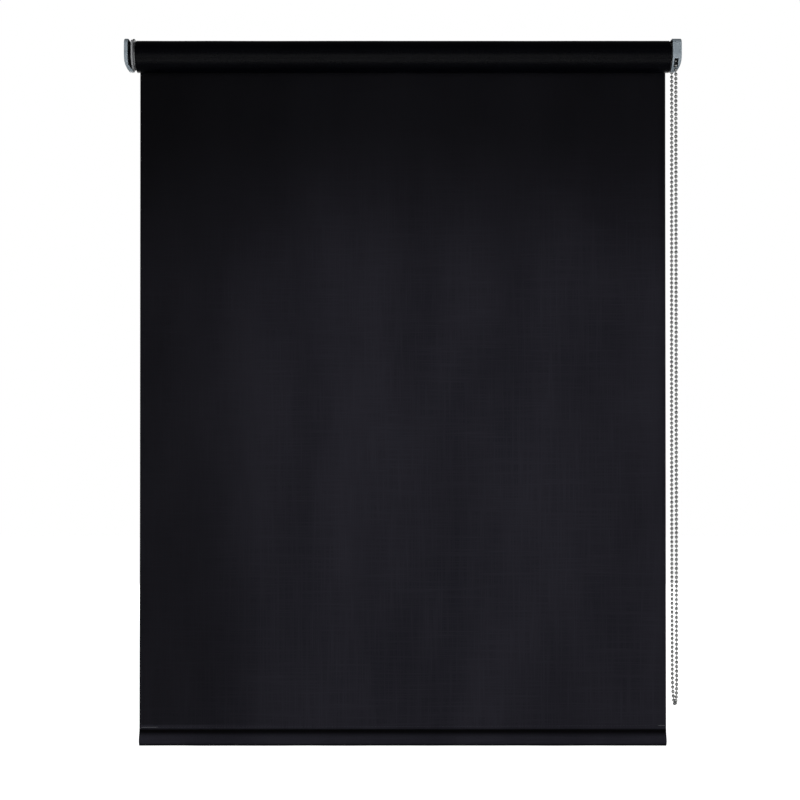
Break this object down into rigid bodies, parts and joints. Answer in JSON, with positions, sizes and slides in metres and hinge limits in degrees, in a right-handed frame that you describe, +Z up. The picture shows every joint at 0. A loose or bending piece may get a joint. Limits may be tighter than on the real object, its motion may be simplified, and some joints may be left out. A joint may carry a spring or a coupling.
{
  "type": "roller blind",
  "caption": "Chain-operated roller blind: black blackout screen on a tube between two wall brackets with grey end covers, metal bead chain on the right and a weighted hem.",
  "frame": {"origin": "on the wall plane, midway between the brackets, level with the roller's axis", "axes": "+X to the chain side, +Y into the wall, +Z up"},
  "size_m": [0.75, 0.0753, 0.9632],
  "materials": {
    "cover_plastic": "fine satin grain, blue-grey",
    "housing_plastic": "black moulded",
    "light_plastic": "light grey moulded",
    "bracket_steel": "dark powder coat",
    "bright_steel": "zinc plated",
    "tube_aluminium": "mill finish",
    "blackout_fabric": "fine plain weave, faint sheen",
    "chain_metal": "nickel-plated beads, slightly dulled"
  },
  "bodies": {
    "root": {"left_bracket": "bracket_steel", "right_bracket": "bracket_steel", "left_screw_lower": "bright_steel", "left_screw_upper": "bright_steel", "right_screw_lower": "bright_steel", "right_screw_upper": "bright_steel", "left_cover": "cover_plastic", "right_cover": "cover_plastic", "end_disc": "light_plastic", "chain_housing": "housing_plastic", "housing_cap": "housing_plastic", "clutch_core": "light_plastic", "chain_on_wheel": "chain_metal", "chain_loop": "chain_metal"},
    "roller": {"roller_tube": "tube_aluminium", "fabric_spline": "light_plastic", "fabric_roll": "blackout_fabric", "idler_plug": "light_plastic", "idler_spring": "bright_steel", "drive_sleeve": "light_plastic", "chain_wheel": "housing_plastic", "clutch_spring_outer": "bright_steel", "clutch_spring_inner": "bright_steel"},
    "idler_pin": {"idler_pin": "bright_steel"},
    "hem": {"hanging_fabric": "blackout_fabric", "hem_pocket": "blackout_fabric", "bottom_bar": "tube_aluminium"}
  },
  "joints": [
    {"name": "roller_spin", "type": "hinge", "parent": "root", "child": "roller", "pos_m": [0, -0.034, 0], "axis": [1, 0, 0], "range_deg": [0, 2400], "deforming": ["chain_on_wheel"]},
    {"name": "hem_travel", "type": "slide", "parent": "root", "child": "hem", "axis": [0, 0, 1], "range_m": [0, 0.8713], "deforming": ["hanging_fabric"]},
    {"name": "idler_pin_slide", "type": "slide", "parent": "roller", "child": "idler_pin", "axis": [1, 0, 0], "range_m": [0, 0.01], "stiffness_N_per_m": 400, "springref_m": -0.005, "deforming": ["idler_spring"]}
  ],
  "couplings": [
    {"joint": "hem_travel", "follows": "roller_spin", "m_per_rad": 0.0208}
  ]
}
